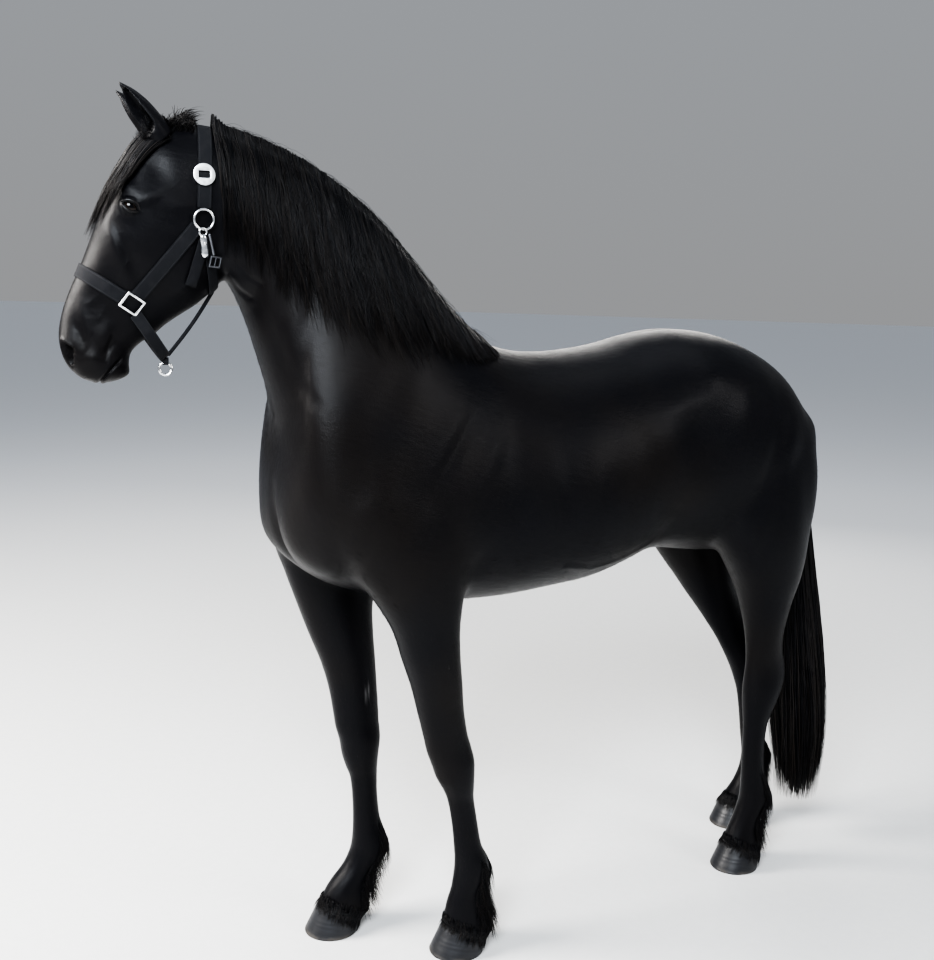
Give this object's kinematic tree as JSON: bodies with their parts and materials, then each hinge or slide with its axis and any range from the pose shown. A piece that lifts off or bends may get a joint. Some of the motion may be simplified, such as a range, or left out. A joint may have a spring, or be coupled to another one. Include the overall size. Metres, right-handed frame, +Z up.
{
  "type": "standing friesian horse",
  "caption": "Life-size black horse standing still, head turned a little aside, with long wavy mane, full tail and feathered fetlocks, wearing a plain webbing halter without a lead.",
  "frame": {"origin": "on the floor, at the middle of the horse's overall length and width", "axes": "+X from head to tail, +Y to the horse's right side, +Z up; the hooves stand on Z = 0"},
  "size_m": [2.3116, 0.5944, 2.1435],
  "materials": {
    "coat": "short black hair with a soft shine, brownish in the sun",
    "long_hair": "long wavy black hair",
    "horn": "dark grey horn, oiled",
    "eye": "wet, very dark brown",
    "webbing": "charcoal webbing, doubled and stitched",
    "ring_steel": "bright chromed fittings, lightly worn",
    "disc_metal": "satin round slide"
  },
  "bodies": {
    "root": {"torso": "coat", "neck": "coat", "head": "coat", "eye_left": "eye", "eye_right": "eye", "ear_left": "coat", "ear_right": "coat", "fore_left_upper_leg": "coat", "fore_left_lower_leg": "coat", "fore_left_hoof": "horn", "fore_right_upper_leg": "coat", "fore_right_lower_leg": "coat", "fore_right_hoof": "horn", "hind_left_upper_leg": "coat", "hind_left_lower_leg": "coat", "hind_left_hoof": "horn", "hind_right_upper_leg": "coat", "hind_right_lower_leg": "coat", "hind_right_hoof": "horn", "tail": "long_hair", "halter_crown": "webbing", "halter_cheek_left": "webbing", "halter_ring_left": "ring_steel", "halter_square_left": "ring_steel", "halter_disc_left": "disc_metal", "halter_cheek_right": "webbing", "halter_ring_right": "ring_steel", "halter_square_right": "ring_steel", "halter_disc_right": "disc_metal", "halter_noseband": "webbing", "halter_throat_strap": "webbing", "halter_tongue": "webbing", "halter_chin_strap": "webbing", "halter_rolled_strap": "webbing", "halter_lead_ring": "ring_steel", "halter_snap": "ring_steel", "halter_buckle": "ring_steel"}
  },
  "joints": []
}
